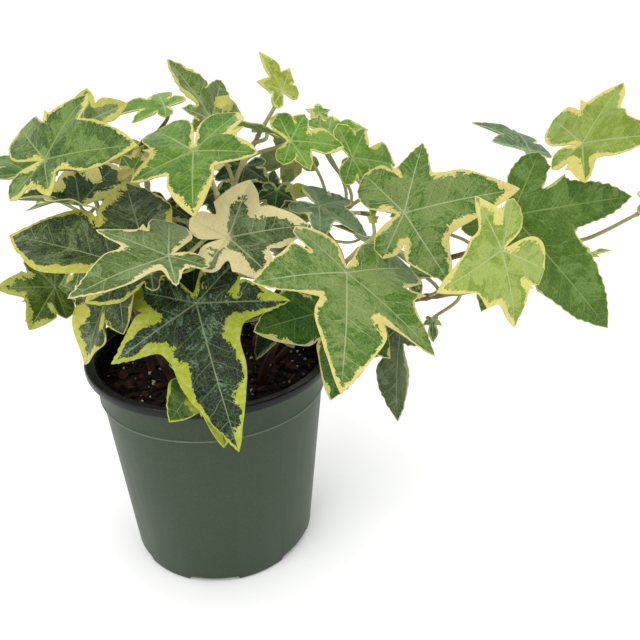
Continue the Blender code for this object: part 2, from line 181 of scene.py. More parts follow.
potSizes = {"lipRadius": 57, "height": 105, "lipHeight": 3.5, "collarRadius": 52.2, "ridgeZ": 87.5,
            "ridgeStep": 0.7, "baseRadius": 45.2, "corner": 1.8, "wall": 1.2, "floor": 1.6, "bead": 0.5,
            "rings": ((0.6, 0), (1.6, 0), (1.9, 1), (3, 1), (3.4, 2), (4.4, 2)), "ringStep": 0.5,
            "steps": 144, "notches": 6, "notchDegrees": 31, "notchHeight": 3, "notchDepth": 6,
            "notchPast": 3, "notchRound": 1.6}
# the pale ridge colour and its width paint a highlight along the ridge's bead
potGreen = {"body": "313f27", "cool": "324030", "worn": "4a5645", "ridgeHighlight": "6c7865", "highlightWidth": 0.38,
            "speckMm": 0.9, "cloudMm": 30}
potBlack = {"body": "0c0d0e", "dust": "26231f", "grainMm": 0.4}


def potProfile():
    names = ("lipRadius", "collarRadius", "baseRadius", "height", "ridgeZ", "wall", "floor", "bead")
    lip, collar, base, top, ridge, wall, floor, bead = (potSizes[name] for name in names)
    under = top - potSizes["lipHeight"]
    neck = collar - potSizes["ridgeStep"]
    inside = collar - wall
    corner = [(base - potSizes["corner"] * (1 - math.sin(turn)), potSizes["corner"] * (1 - math.cos(turn)))
              for turn in (math.radians(degrees) for degrees in (0, 22, 45, 68, 90))]
    outside = [(neck, ridge - 1.2), (neck, ridge - 0.7), (collar + bead - 0.1, ridge - 0.4),
               (collar + bead, ridge - 0.15), (collar + bead, ridge + 0.1), (collar + 0.1, ridge + 0.6),
               (collar, ridge + 1.0), (collar, under - 1.4), (collar + 0.2, under - 0.5),
               (collar + 0.8, under), (lip - 0.6, under), (lip - 0.1, under + 0.3), (lip, under + 0.9),
               (lip, top - 1.0), (lip - 0.2, top - 0.3)]
    rings = [(lip - inwards, top - potSizes["ringStep"] * level) for inwards, level in potSizes["rings"]]
    within = [(inside + 0.4, under + 0.9), (inside, under - 1.0), (neck - wall, ridge - 1.0),
              (base - wall, floor + 1), (base - 2.5, floor)]
    return [(0, 0), *corner, *outside, *rings, *within, (0, floor)]


def notchCutter(number):
    size = potSizes
    inner = size["baseRadius"] - size["notchDepth"]
    outer = size["baseRadius"] + size["notchPast"]
    width = 2 * size["baseRadius"] * math.sin(math.radians(size["notchDegrees"] / 2))
    shape = bmesh.new()
    bmesh.ops.create_cube(shape, size=1)
    bmesh.ops.scale(shape, verts=shape.verts[:], vec=(outer - inner, width, 2 * size["notchHeight"]))
    upright = [edge for edge in shape.edges if abs(edge.verts[0].co.z - edge.verts[1].co.z) < 0.1
               and edge.verts[0].co.z > 0 and abs(edge.verts[0].co.y - edge.verts[1].co.y) < 0.1]
    bmesh.ops.bevel(shape, geom=upright, offset=size["notchRound"], offset_type="OFFSET", segments=4,
                    profile=0.5, affect="EDGES", material=-1)
    bmesh.ops.translate(shape, verts=shape.verts[:], vec=((outer + inner) / 2, 0, 0))
    turn = Matrix.Rotation(math.radians(-90 + number * 360 / size["notches"]), 3, "Z")
    bmesh.ops.rotate(shape, verts=shape.verts[:], cent=(0, 0, 0), matrix=turn)
    bmesh.ops.scale(shape, verts=shape.verts[:], vec=(mm, mm, mm))
    return toMesh("notch", shape)


def makePotMaterials():
    # Polypropylene, injection moulded: a dull satin skin with a fine grain, pale scuffs and a painted
    # highlight along the ridge
    green, add, shader = newMaterial("polypropyleneMouldedGreen", IOR=1.49, Specular_IOR_Level=0.26)
    place = add("TexCoord", out="Object")
    cloud = add("TexNoise", place, 1000 / potGreen["cloudMm"], 3)
    speck = add("TexNoise", place, 1000 / potGreen["speckMm"], 2)
    scuff = add("TexNoise", add("Mapping", place, Scale=(260, 260, 18)), 1, 4)
    worn = add("MapRange", scuff, 0.55, 0.85, 0, 0.22)
    fromRidge = add("Math.SUBTRACT", add("SeparateXYZ", place, out="Z"), (potSizes["ridgeZ"] + 0.1) * mm)
    highlightWidth = potGreen["highlightWidth"] * mm
    fromRidge = add("Math.ABSOLUTE", fromRidge)
    ridgeHighlightShare = add("MapRange", fromRidge, highlightWidth, highlightWidth / 2, 0, 0.6)  # the ridge's bead is painted pale: a painted highlight
    base = linear(potGreen["body"])
    for share, tint in ((cloud, "cool"), (worn, "worn"), (ridgeHighlightShare, "ridgeHighlight")):
        base = add("Mix.RGBA", share, base, linear(potGreen[tint]))
    grain = add("MapRange", speck, 0.3, 0.7, 0.86, 1.12)
    base = add("Mix.RGBA", 1, base, grain, blend_type="MULTIPLY")
    rough = add("MapRange", scuff, 0, 1, 0.36, 0.52)
    bump = add("Bump", Height=speck, Strength=0.12, Distance=0.0002)
    fill(shader, {"Base Color": base, "Roughness": rough, "Normal": bump})
    # The same plastic in black, polished by the mould: glossier, with dry soil dust in its grain
    black, add, shader = newMaterial("polypropyleneMouldedBlack", IOR=1.49, Specular_IOR_Level=0.22)
    place = add("TexCoord", out="Object")
    grain = add("TexNoise", place, 1000 / potBlack["grainMm"], 2)
    cloud = add("TexNoise", place, 120, 4)
    dusty = add("MapRange", cloud, 0.55, 0.8, 0, 0.35)
    base = add("Mix.RGBA", dusty, linear(potBlack["body"]), linear(potBlack["dust"]))
    rough = add("MapRange", cloud, 0, 1, 0.18, 0.38)
    bump = add("Bump", Height=grain, Strength=0.1, Distance=0.0002)
    fill(shader, {"Base Color": base, "Roughness": rough, "Normal": bump})
    return green, black


def makePot():
    shape = bmesh.new()
    points = [shape.verts.new((radius * mm, 0, height * mm)) for radius, height in potProfile()]
    edges = [shape.edges.new(pair) for pair in zip(points, points[1:])]
    bmesh.ops.spin(shape, geom=points + edges, cent=(0, 0, 0), axis=(0, 0, 1), angle=math.tau,
                   steps=potSizes["steps"], use_merge=True)
    bmesh.ops.remove_doubles(shape, verts=shape.verts[:], dist=1e-6)
    bmesh.ops.recalc_face_normals(shape, faces=shape.faces[:])
    body = toScene("potBody", toMesh("pot", shape))
    cutters = bpy.data.collections.new("notchCutters")
    bpy.context.scene.collection.children.link(cutters)
    for number in range(potSizes["notches"]):
        cutters.objects.link(bpy.data.objects.new("cutter", notchCutter(number)))
    cut = body.modifiers.new("cut", "BOOLEAN")
    cut.operation = "DIFFERENCE"
    cut.operand_type = "COLLECTION"
    cut.collection = cutters
    cut.solver = "EXACT"
    graph = bpy.context.evaluated_depsgraph_get()
    result = bpy.data.meshes.new_from_object(body.evaluated_get(graph))
    for item in [*cutters.objects, body]:
        bpy.data.objects.remove(item, do_unlink=True)
    bpy.data.collections.remove(cutters)
    shape = bmesh.new()
    shape.from_mesh(result)
    lipFrom = (potSizes["height"] - potSizes["lipHeight"] - 0.1) * mm
    taper = (potSizes["collarRadius"] - potSizes["ridgeStep"] - potSizes["baseRadius"]) / potSizes["ridgeZ"]
    for face in shape.faces:  # black above the lip's foot, and inside the middle of the wall
        middle = face.calc_center_median()
        wall = potSizes["baseRadius"] * mm + taper * middle.z
        inner = math.hypot(middle.x, middle.y) < wall - 0.7 * mm and middle.z > 1.2 * mm
        face.material_index = int(middle.z > lipFrom or inner)
    finishPiece("nursery_pot", shape, makePotMaterials(), "pot_plastic", "pot", sharp=35)


makePot()
print("pot: moulded, with lip, rings, ridge and drain notches")


# Soil: dark peat with crumbs, white perlite and chips of bark

soilBed = {"radius": 51, "top": 93, "bottom": 2, "relief": 1.3, "edgeDrop": 2.4, "rings": 26,
           "steps": 96, "narrowing": 6.5, "crumbMargin": 1.2, "lumpMm": 9, "smallLumpMm": 3.2,
           "crumbs": 460, "perlite": 190, "bark": 120, "seed": 7}
peatColours = {"wet": "100b08", "dry": "2c1a12", "fibre": "5c3826", "perlite": "e8e4da", "shade": "bdb6a6",
               "bark": "4c2c1c", "barkDark": "22150e"}


def soilHeight(x, y):
    bed = soilBed
    ring = math.hypot(x, y) / bed["radius"]
    lump = noise.noise(Vector((x / bed["lumpMm"], y / bed["lumpMm"], 3)))
    lump += 0.5 * noise.noise(Vector((x / bed["smallLumpMm"], y / bed["smallLumpMm"], 9)))
    return bed["top"] - bed["edgeDrop"] * ring ** 4 + bed["relief"] * lump * (1 - 0.5 * ring ** 6)


def makeSoilMaterials():
    # Peat mix: matt, near black where damp, browner where dry, with short fibres
    peat, add, shader = newMaterial("peatMixDamp", Roughness=0.92, Specular_IOR_Level=0.25)
    place = add("TexCoord", out="Object")
    damp = add("TexNoise", place, 90, 4)
    crumb = add("TexVoronoi", place, 700)
    stretch = add("Mapping", place, Scale=(1900, 500, 900), Rotation=(0.2, 0.4, 0.9))
    fibre = add("TexNoise", stretch, 1, 1)
    dry = add("MapRange", damp, 0.42, 0.7)
    base = add("Mix.RGBA", dry, linear(peatColours["wet"]), linear(peatColours["dry"]))
    show = add("MapRange", fibre, 0.66, 0.72, 0, 0.7)
    base = add("Mix.RGBA", show, base, linear(peatColours["fibre"]))
    fill(shader, {"Base Color": base, "Normal": add("Bump", Height=crumb, Strength=0.7, Distance=0.0012)})
    # Perlite: expanded glass, chalk white and full of pits
    perlite, add, shader = newMaterial("perliteExpanded", Roughness=0.8, Specular_IOR_Level=0.3)
    pit = add("TexVoronoi", add("TexCoord", out="Object"), 2200)
    base = add("Mix.RGBA", pit, linear(peatColours["shade"]), linear(peatColours["perlite"]))
    fill(shader, {"Base Color": base, "Normal": add("Bump", Height=pit, Strength=0.5, Distance=0.0004)})
    # Pine bark, chipped: rust brown with darker layers along each chip
    bark, add, shader = newMaterial("pineBarkChipped", Roughness=0.85, Specular_IOR_Level=0.3)
    layer = add("TexNoise", add("TexCoord", out="Object"), 420, 3)
    pick = add("MapRange", layer, 0.4, 0.62)
    base = add("Mix.RGBA", pick, linear(peatColours["barkDark"]), linear(peatColours["bark"]))
    fill(shader, {"Base Color": base, "Normal": add("Bump", Height=layer, Strength=0.6, Distance=0.0006)})
    return peat, perlite, bark


def scatter(shape, chance, count, low, high, flatness, material, sink):
    for _ in range(count):
        size = chance.uniform(low, high)
        reach = (soilBed["radius"] - soilBed["crumbMargin"] - size / 2) * math.sqrt(chance.random())
        turn = chance.uniform(0, math.tau)
        x, y = reach * math.cos(turn), reach * math.sin(turn)
        made = bmesh.ops.create_icosphere(shape, subdivisions=1, radius=size / 2)["verts"]
        for vert in made:
            vert.co *= chance.uniform(0.75, 1.2)
        width = chance.uniform(0.5, 1.0)
        bmesh.ops.scale(shape, verts=made, vec=(1, width, flatness * chance.uniform(0.7, 1.3)))
        tilt = Matrix.Rotation(chance.uniform(-0.5, 0.5), 3, "X")
        tilt = tilt @ Matrix.Rotation(chance.uniform(0, 6.3), 3, "Z")
        bmesh.ops.rotate(shape, verts=made, cent=(0, 0, 0), matrix=tilt)
        lift = soilHeight(x, y) + size * flatness * (0.5 - sink)
        bmesh.ops.translate(shape, verts=made, vec=(x, y, lift))
        for face in facesOf(made):
            face.material_index = material


def makeSoil():
    bed = soilBed
    chance = random.Random(bed["seed"])
    shape = bmesh.new()
    below = (bed["radius"] - bed["narrowing"], bed["bottom"])
    start = [shape.verts.new((0, 0, below[1])), shape.verts.new((below[0], 0, below[1]))]
    start += [shape.verts.new((bed["radius"] * (bed["rings"] - step) / bed["rings"], 0, bed["top"]))
              for step in range(bed["rings"] + 1)]
    edges = [shape.edges.new(pair) for pair in zip(start, start[1:])]
    bmesh.ops.spin(shape, geom=start + edges, cent=(0, 0, 0), axis=(0, 0, 1), angle=math.tau,
                   steps=bed["steps"], use_merge=True)
    bmesh.ops.remove_doubles(shape, verts=shape.verts[:], dist=1e-3)
    for vert in shape.verts:
        if vert.co.z > bed["top"] - 1:
            vert.co.z = soilHeight(vert.co.x, vert.co.y)
    bmesh.ops.recalc_face_normals(shape, faces=shape.faces[:])
    scatter(shape, chance, bed["crumbs"], 1.4, 4.2, 0.75, 0, 0.25)
    scatter(shape, chance, bed["perlite"], 0.7, 2.0, 0.85, 1, 0.1)
    scatter(shape, chance, bed["bark"], 2.4, 7.0, 0.35, 2, 0.15)
    bmesh.ops.scale(shape, verts=shape.verts[:], vec=(mm, mm, mm))
    finishPiece("peat_bed", shape, makeSoilMaterials(), "peat", "soil", sharp=50)


makeSoil()
print("soil: peat, perlite and bark")


# Ivy: each stem's foot, its route over the soil, and then its leaves. A leaf is given by the share of the
# stem where it springs, where its stalk meets the blade, its turns in degrees, the five lobes in mm and the
# angles of its side ribs. The coat is its pattern: dark, mid and light greens, the margin, the veins, the
# margin's width in mm, how much of the blade the light patches take, and how strong its fine mottling is.
# Where a leaf lists its cream, each spot is a direction in degrees, a reach, a radius and the margin's
# extra width there in mm. Web fills the dips between the lobes, and slim narrows the lobes.

coatColours = ("dark", "mid", "light", "edge", "vein")
leafCoats = {
    "goldEdge": ("3c5e25", "5f8539", "80a05a", "d8cf6c", "a9bd7a", 1.7, 0.45, 0.3),
    "brightGold": ("4a782a", "649338", "84a855", "e3d47a", "b3c782", 1.5, 0.45, 0.25),
    "silverGold": ("4d7a28", "74984a", "90a966", "ead985", "c3d09e", 1.4, 0.55, 0.5),
    "mottled": ("182b1a", "33502f", "6f8a86", "b6c034", "8fa57a", 3.8, 0.3, 1),
    "blackHeart": ("0d170c", "2d4b1b", "7c9b84", "b6c43c", "a3b48a", 2.8, 0.33, 1),
    "tealHeart": ("26381f", "4d663b", "82976e", "cfcb58", "a4b58c", 2.4, 0.38, 0.8),
    "greyLime": ("3c5632", "587a40", "739058", "bccb40", "9db08a", 2.8, 0.5, 0.5),
    "greyCream": ("546f3e", "6b884f", "88a06c", "eedda0", "b8c79a", 0.8, 0.52, 0.5),
    # its margin is its own cream, made brighter as painted light against the shade it sits in
    "creamy": ("3d5a2c", "63824c", "8ea478", "fcecb2", "c9d0a6", 4.6, 0.55, 0.4),
    "pale": ("8aa848", "a3bd5a", "b9cd70", "ebde80", "cddc9c", 1.6, 0.5, 0.1),
    "darkPlain": ("4a7030", "5c8236", "7a9c58", "c3cf80", "9ab374", 0.4, 0.4, 0.3),
    "forest": ("2f561c", "40702c", "7a9c55", "d9d080", "90ab6a", 1, 0.28, 0.4),
    "olive": ("3f5f26", "64803a", "87a25c", "c9cf68", "a3b778", 1.6, 0.42, 0.4),
    "greyGold": ("5a783f", "7d9456", "98ad7c", "cfcb60", "b9c490", 2.6, 0.5, 0.4),
    "yellowGreen": ("8fa53c", "acbc4c", "bcc85c", "d0d272", "cbd28a", 0.6, 0.5, 0.1),
    "bright": ("5a8c30", "76a544", "8fb65a", "dcd878", "b2cc84", 1.4, 0.45, 0.15),
    "underGrey": ("5e7352", "748a66", "93a480", "c9d2a0", "c3cfae", 0.7, 0.5, 0.3),
    # its margin is its own cream, made brighter as painted light against the shadow of the leaf above
    "darkHeart": ("22391a", "3b5a28", "5b7a48", "f2ee90", "7f9a68", 1.7, 0.35, 0.7),
    # the darkest coat, for leaves deep inside the clump: painted shade in their greens
    "shadedInnerDark": ("1c3318", "2a4a20", "42663a", "a9b468", "6f8c58", 0.7, 0.35, 0.6),
    "limePale": ("7f9c42", "94ad4e", "a9c064", "e6d678", "c3d190", 1.5, 0.45, 0.1),
    "greyPlain": ("50704a", "66855c", "82a078", "cfd596", "a9bf90", 0.8, 0.5, 0.3),
}
# the white room lifts colours by about the haze; a leaf that lists its cream has a thinner margin elsewhere
leafLight = {"share": 0.66, "creamShare": 0.76, "haze": (0.014, 0.014, 0.04), "listedShare": 0.4}
youngLobes = (0.52, 0.8, 1, 0.8, 0.52)
smallLeaf = 17.5  # a leaf shorter than this has plain lobes
# leaves inside the clump take the darkest coat, painted shade where the outer leaves cover them
inner = {"web": 1.35, "coat": "shadedInnerDark"}
thinEdge = ((0, 10, 50, 0.25),)


def leaf(along, at, heading, pitch, roll, lobes, spread=(57, 115), edge="", curl=0.14, fold=0.08, web=1,
         slim=1, cream=(), coat="bright"):
    if not isinstance(lobes, tuple):
        lobes = tuple(lobes * share for share in youngLobes)
    edge = edge or ("small" if max(lobes) < smallLeaf else "smooth")
    return dict(along=along, at=at, turn=(heading, pitch, roll), lobes=lobes, spread=spread, edge=edge,
                curl=curl, fold=fold, web=web, slim=slim, cream=cream, coat=coat)


stemFoot = (80, 96)  # each stem goes straight up between these
leafyStems = {}
leafyStems["stem_left"] = (
    ((-28, -6), (-33, -7, 125), (-39, -4, 150), (-43, 0, 168), (-45, -2, 184)),
    leaf(0.97, (-47, -35, 197), -18, 16, 43, (27, 30, 37, 18, 19), (67, 133), web=1.18,
         cream=((0, 10, 80, 0.8), (-67, 26, 12, 1.0), (67, 16, 8, 0.8)), coat="goldEdge"),
    leaf(0.74, (-41, -25, 178), -172, 14, -5, (14, 22, 23, 22, 28), (71, 108), fold=0.5,
         cream=((0, 10, 70, 1.8),), coat="darkHeart"),
    leaf(0.12, (-60, -18, 141), -140, 18, -42, (15, 23, 22, 18, 13), (57, 100), web=1.4,
         cream=((0, 18, 12, 1.2), (-57, 18, 8, 1.6)), coat="olive"),
    leaf(0.62, (-69, 0, 184), 150, 20, -10, 22, edge="toothed", coat="darkPlain"),
    leaf(0.34, (-61, -1, 133), -172, -25, -8, 27, web=1.2, coat="goldEdge"),
    leaf(0.92, (-43, 4, 181), -60, -25, 0, 15, **inner),
)
leafyStems["stem_front_left"] = (
    ((-14, -22), (-20, -26, 120), (-25, -29, 140), (-24, -32, 153), (-15, -39, 163)),
    leaf(0.55, (-28, -29, 153), -150, -55, -10, (18, 28, 42, 35, 18), (50, 120), web=1.4, slim=1.35,
         cream=((50, 30, 10, 3), (20, 30, 10, 3), (0, 38, 8, 3)), coat="tealHeart"),
    leaf(0.85, (-10, -50, 160), 172, 18, -28, (8, 25, 55, 48, 22), (54, 120), cream=((0, 50, 13, 6),
         (24, 34, 12, 2), (54, 42, 12, 2.5), (-22, 34, 14, 3), (-54, 22, 9, 4)), coat="tealHeart"),
)
leafyStems["stem_front"] = (
    ((8, -22), (9, -26, 120), (11, -28, 145), (12, -28, 166), (12, -29, 184)),
    leaf(0.22, (5, -46, 117), -64, -27, -26, (14, 22, 32, 30, 15), (44, 100), web=1.6, coat="greyLime"),
    leaf(0.42, (4, -45, 146), -66, -45, 27, (24, 36, 57, 39, 26), (72, 120), edge="sharp", curl=0.1,
         cream=((68, 34, 10, 8), (92, 26, 10, 7), (50, 22, 7, 4.5), (24, 30, 8, 5), (14, 42, 6, 2.5),
         (-42, 20, 9, 7), (-64, 30, 8, 3.5), (-10, 40, 9, 1.5), (0, 56, 5, 3)), coat="blackHeart"),
    leaf(0.78, (17, -40, 170), 15, 8, 46, (16, 26, 31, 24, 16), (58, 138), web=1.2, cream=((-58, 25, 9, 6),
         (-98, 14, 8, 7), (-138, 14, 8, 6), (-28, 22, 8, 5), (138, 13, 6, 4), (58, 22, 7, 6),
         (98, 14, 5, 3), (28, 22, 6, 2)), coat="creamy"),
    leaf(0.98, (7, -40, 201), -86, -27, 15, (24, 24, 28, 24, 27), (72, 140), cream=((0, 10, 60, 0.9),),
         coat="brightGold"),
    leaf(0.3, (36, -24, 130), -140, -35, 0, 21, **inner),
    leaf(0.74, (0, -62, 171), -130, 2, -20, (14, 16, 36, 26, 23), (62, 128), edge="sharp",
         coat="greyCream"),
    leaf(0.62, (9, -13, 180), -75, -40, 0, 15, **inner),
    leaf(0.5, (0, -16, 161), -90, -45, 0, 26, **inner),
)
leafyStems["stem_middle"] = (
    ((4, -4), (5, -6, 125), (9, -6, 155), (16, -4, 182), (26, -3, 200)),
    leaf(0.72, (9, -10, 207), 160, 58, -12, (12, 13, 27, 22, 18), (54, 95), edge="toothed",
         coat="greyGold"),
    leaf(0.92, (30, -12, 203), 175, 18, 20, (8, 13, 17, 12, 8)),
    leaf(1, (36, -5, 217), 166, 64, -24, (9, 12, 16, 12, 9), coat="yellowGreen"),
    leaf(0.84, (39, -9, 199), 10, -3, 42, (14, 15, 22, 15, 12), (63, 108), cream=thinEdge),
    leaf(0.6, (28, 3, 174), 78, 42, 0, 15, **inner),
    leaf(0.5, (42, -8, 166), 176, 2, -12, 16, coat="yellowGreen"),
    leaf(0.6, (18, 14, 184), -100, -35, 0, 18, **inner),
    leaf(0.62, (33, -7, 179), -95, -35, 0, 13, **inner),
)
leafyStems["stem_centre_left"] = (
    ((-14, 4), (-17, 4, 125), (-21, 6, 155), (-24, 10, 178), (-21, 13, 194)),
    leaf(1, (-13, 10, 209), 166, -3, -17, (10, 16, 27, 18, 11), cream=thinEdge),
    leaf(0.74, (-24, -9, 187), 60, 50, 0, 15, coat="brightGold"),
    leaf(0.88, (-4, 3, 201), -155, -8, 0, (12, 16, 22, 18, 14), coat="mottled"),
    leaf(0.92, (-46, 5, 203), 17, 26, 50, 20, coat="greyGold"),
    leaf(0.8, (-33, 16, 188), 110, 40, 0, 13, coat="yellowGreen"),
    leaf(0.6, (-36, 8, 172), 130, 25, 0, 19, coat="mottled"),
    leaf(0.4, (-5, -12, 150), -90, -15, 0, 18, **inner),
    leaf(0.66, (-14, -1, 172), -95, -35, 0, 19, **inner),
)
leafyStems["stem_right_front"] = (
    ((24, -14), (34, -19, 120), (48, -22, 138), (60, -20, 152), (72, -16, 162)),
    leaf(0.4, (60, -31, 138), -95, -32, -33, (18, 28, 39, 42, 30), coat="forest"),
    leaf(0.66, (60, -49, 160), -90, -16, -27, (39, 43, 52, 41, 26), (56, 126), edge="pointed",
         cream=((28, 24, 8, 1.2), (-28, 26, 8, 2.5), (126, 24, 10, 0.9), (0, 20, 70, 0.6)),
         coat="silverGold"),
    leaf(0.86, (83, -22, 174), -15, 20, 50, (26, 30, 43, 35, 20), (68, 123), edge="pointed", web=1.12,
         cream=((0, 41, 6, 3), (34, 24, 9, 2.2), (123, 18, 8, 1.8), (-34, 24, 9, 0.6), (0, 15, 70, 0.6)),
         coat="silverGold"),
    leaf(0.74, (50, -2, 171), -18, -21, 8, (17, 21, 24, 22, 15), (66, 122), edge="toothed",
         coat="greyPlain"),
    leaf(1, (72, -12, 168), 90, 60, 0, (2, 3, 7, 3, 2), coat="yellowGreen"),
)
leafyStems["stem_right"] = (
    ((30, 0), (46, -4, 114), (72, -12, 128), (95, -17, 136), (117, -20, 141),
     (140, -20, 148), (157, -18, 153)),
    leaf(0.42, (84, -25, 126), -107, -58, 42, (10, 14, 39, 24, 12), edge="toothed", coat="underGrey"),
    leaf(0.3, (71, -7, 110), -115, -20, 0, 15, coat="forest"),
    leaf(0.5, (115, -48, 168), -142, -18, -74, (26, 31, 30, 23, 19), (82, 135), edge="pointed", web=1.25,
         cream=((0, 10, 70, 0.6), (0, 28, 7, 1.5), (-82, 28, 8, 2)), coat="pale"),
    leaf(0.66, (128, -12, 170), -34, -39, 52, (28, 48, 60, 41, 21), (58, 116), edge="toothed", web=0.92,
         slim=0.78, coat="darkPlain"),
    leaf(0.54, (88, -14, 147), -60, -50, 20, 13, coat="greyPlain"),
    leaf(0.6, (99, -14, 124), -90, -40, 0, (3, 5, 10, 5, 3), coat="greyPlain"),
    leaf(1, (160, -18, 155), 10, 20, 0, (2, 4, 9, 4, 2), coat="yellowGreen"),
)
leafyStems["stem_far_right"] = (
    ((28, 14), (56, 16, 118), (92, 14, 136), (128, 13, 147), (152, 11, 150),
     (168, 6, 154), (185, 0, 167)),
    leaf(0.72, (148, -20, 200), -54, 18, 54, (24, 26, 27, 18, 14), (71, 140), web=1.2,
         cream=((71, 14, 9, 3.5), (105, 10, 6, 2.5), (0, 10, 60, 0.3)), coat="limePale"),
    leaf(0.64, (140, 14, 191), 148, 27, 2, 28, coat="greyPlain"),
    leaf(1, (190, -4, 171), -20, -15, 10, 26, coat="limePale"),
    leaf(0.46, (100, 24, 158), 70, -10, 0, 34, coat="brightGold"),
)
leafyStems["stem_back_right"] = (
    ((18, 20), (30, 28, 120), (46, 34, 142), (62, 36, 158), (74, 36, 166)),
    leaf(0.9, (64, 8, 189), 34, -11, 66, (15, 16, 28, 15, 13), cream=thinEdge),
    leaf(0.8, (54, 20, 198), 25, 5, 20, (12, 14, 20, 12, 10), cream=thinEdge),
    leaf(0.74, (50, 11, 206), 95, 35, 0, 8),
    leaf(0.35, (44, 52, 124), 60, -35, 0, 38, coat="forest"),
    leaf(0.5, (72, 50, 140), 30, -25, 0, 38, coat="goldEdge"),
    leaf(0.62, (56, 60, 150), 80, -15, 0, 34, coat="silverGold"),
    leaf(0.6, (42, 30, 186), -172, -10, 60, 24, coat="greyGold"),
    leaf(0.98, (88, 46, 164), 40, -5, 0, 30, coat="goldEdge"),
)
leafyStems["stem_back"] = (
    ((0, 24), (2, 32, 120), (6, 38, 142), (8, 40, 160), (10, 40, 172)),
    leaf(0.3, (-4, 54, 120), 105, -40, 0, 40, coat="forest"),
    leaf(0.45, (20, 58, 134), 65, -28, 0, 40, coat="goldEdge"),
    leaf(0.6, (-8, 60, 148), 120, -20, 0, 38, coat="brightGold"),
    leaf(0.75, (16, 60, 162), 75, -12, 0, 34, coat="silverGold"),
    leaf(0.9, (-4, 46, 176), 110, 0, 0, 30, coat="goldEdge"),
    leaf(1, (37, 20, 168), 175, 8, -20, (18, 18, 24, 14, 14), coat="mottled"),
)
leafyStems["stem_back_left"] = (
    ((-20, 20), (-26, 26, 120), (-34, 30, 144), (-38, 32, 164), (-38, 34, 178)),
    leaf(0.3, (-38, 42, 122), 130, -38, 0, 40, coat="goldEdge"),
    leaf(0.45, (-58, 32, 140), 150, -25, 0, 38, coat="forest"),
    leaf(0.6, (-40, 54, 152), 115, -18, 0, 38, coat="silverGold"),
    leaf(0.75, (-60, 36, 166), 155, -8, 0, 36, coat="goldEdge"),
    leaf(0.9, (-38, 46, 182), 105, 0, 0, 30, coat="brightGold"),
    leaf(1, (-52, 20, 190), 175, 12, 0, 26, coat="greyCream"),
)

leafBlade = {"thick": 0.4, "columns": 8, "rows": (8, 30), "rowLength": 1.35, "lift": 0.1, "baseNotch": 0.07,
             "sinusDepths": (0.8, 0.57, 0.57, 0.8), "sharpSinus": 0.7, "fullestSinus": 0.76, "sinusLean": 0.2,
             "ribGroove": 0.3, "ribWidth": 1.1, "pucker": 0.28, "veinSpacing": 5.2, "veinSlope": 0.75,
             "ripple": 0.75, "rippleLength": 13, "edgeWave": 0.35, "edgeWaveLength": 6, "toothSize": 1.2,
             "toothLength": 3.2, "toothVaryLength": 4, "fineTooth": 2.5, "fineToothSize": 0.85,
             "shoulders": {"smooth": ((0.6, 0.28), (0.83, 0.16)), "sharp": ((0.56, 0.21), (0.83, 0.09)),
                           "pointed": ((0.58, 0.25), (0.83, 0.12)), "toothed": ((0.5, 0.27), (0.79, 0.17)),
                           "small": ((0.62, 0.23),), "round": ((0.5, 0.34), (0.84, 0.27))}}


def leafColour(colour, share=leafLight["share"]):
    return (*[max(0.003, part - haze) * share for part, haze in zip(linear(colour), leafLight["haze"])], 1)


def alongCurve(points, share):  # a smooth curve through the points
    place = min(share, 0.9999) * (len(points) - 1)
    index = int(place)
    blend = place - index
    before, start = points[max(index - 1, 0)], points[index]
    end, after = points[index + 1], points[min(index + 2, len(points) - 1)]
    bowIn, bowOut = (end - before) / 2, (after - start) / 2
    square, cube = blend * blend, blend ** 3
    return ((2 * cube - 3 * square + 1) * start + (cube - 2 * square + blend) * bowIn
            + (3 * square - 2 * cube) * end + (cube - square) * bowOut)


def leafAxes(turn):  # to the leaf's right, towards its tip, and out of its upper face
    heading, pitch, roll = (math.radians(degrees) for degrees in turn)
    forward = Vector((math.cos(pitch) * math.cos(heading), math.cos(pitch) * math.sin(heading),
                      math.sin(pitch)))
    level = forward.cross(Vector((0, 0, 1))).normalized()
    right = math.cos(roll) * level - math.sin(roll) * level.cross(forward)
    return right, forward, right.cross(forward)


def flatSpot(degrees, reach, aside=0):  # a place on the flat leaf: along a direction, and beside it
    turn = math.radians(degrees)
    return Vector((math.sin(turn) * reach + math.cos(turn) * aside,
                   math.cos(turn) * reach - math.sin(turn) * aside))


def bladeHeight(x, y, spec):
    reach = math.hypot(x, y)
    side = abs(math.degrees(math.atan2(x, y)))
    first, last = spec["spread"]
    if side < first:
        share = side / first
    elif side < last:
        share = (side - first) / (last - first)
    else:
        share = 0.5 * (side - last) / (180 - last)
    lift = leafBlade["lift"] * reach * math.sin(math.pi * share) ** 2
    return lift + spec["fold"] * abs(x) - spec["curl"] * reach * reach / max(spec["lobes"])


def leafAngles(spec):
    return (-spec["spread"][1], -spec["spread"][0], 0, *spec["spread"])


def leafDips(spec):
    angles, lobes = leafAngles(spec), spec["lobes"]
    back = flatSpot(180, leafBlade["baseNotch"] * max(lobes))
    dips = [back]
    for number, depth in enumerate(leafBlade["sinusDepths"]):
        shorter, longer = sorted(lobes[number:number + 2])
        if number in (0, 3):
            share = leafBlade["sharpSinus"] if spec["edge"] == "sharp" else depth
        else:
            share = min(leafBlade["fullestSinus"], depth * spec["web"])
        reach = share * (shorter + leafBlade["sinusLean"] * (longer - shorter))
        dips.append(flatSpot((angles[number] + angles[number + 1]) / 2, reach))
    return [*dips, back]


def toothShare(spec, number, side, seed):  # 1 where this half of a lobe is finely toothed and has no cream
    if spec["edge"] == "toothed":
        return 1
    return float(spec["edge"] != "small" and noise.noise(Vector((seed, number * 1.7, side * 2.3))) > 0.02)


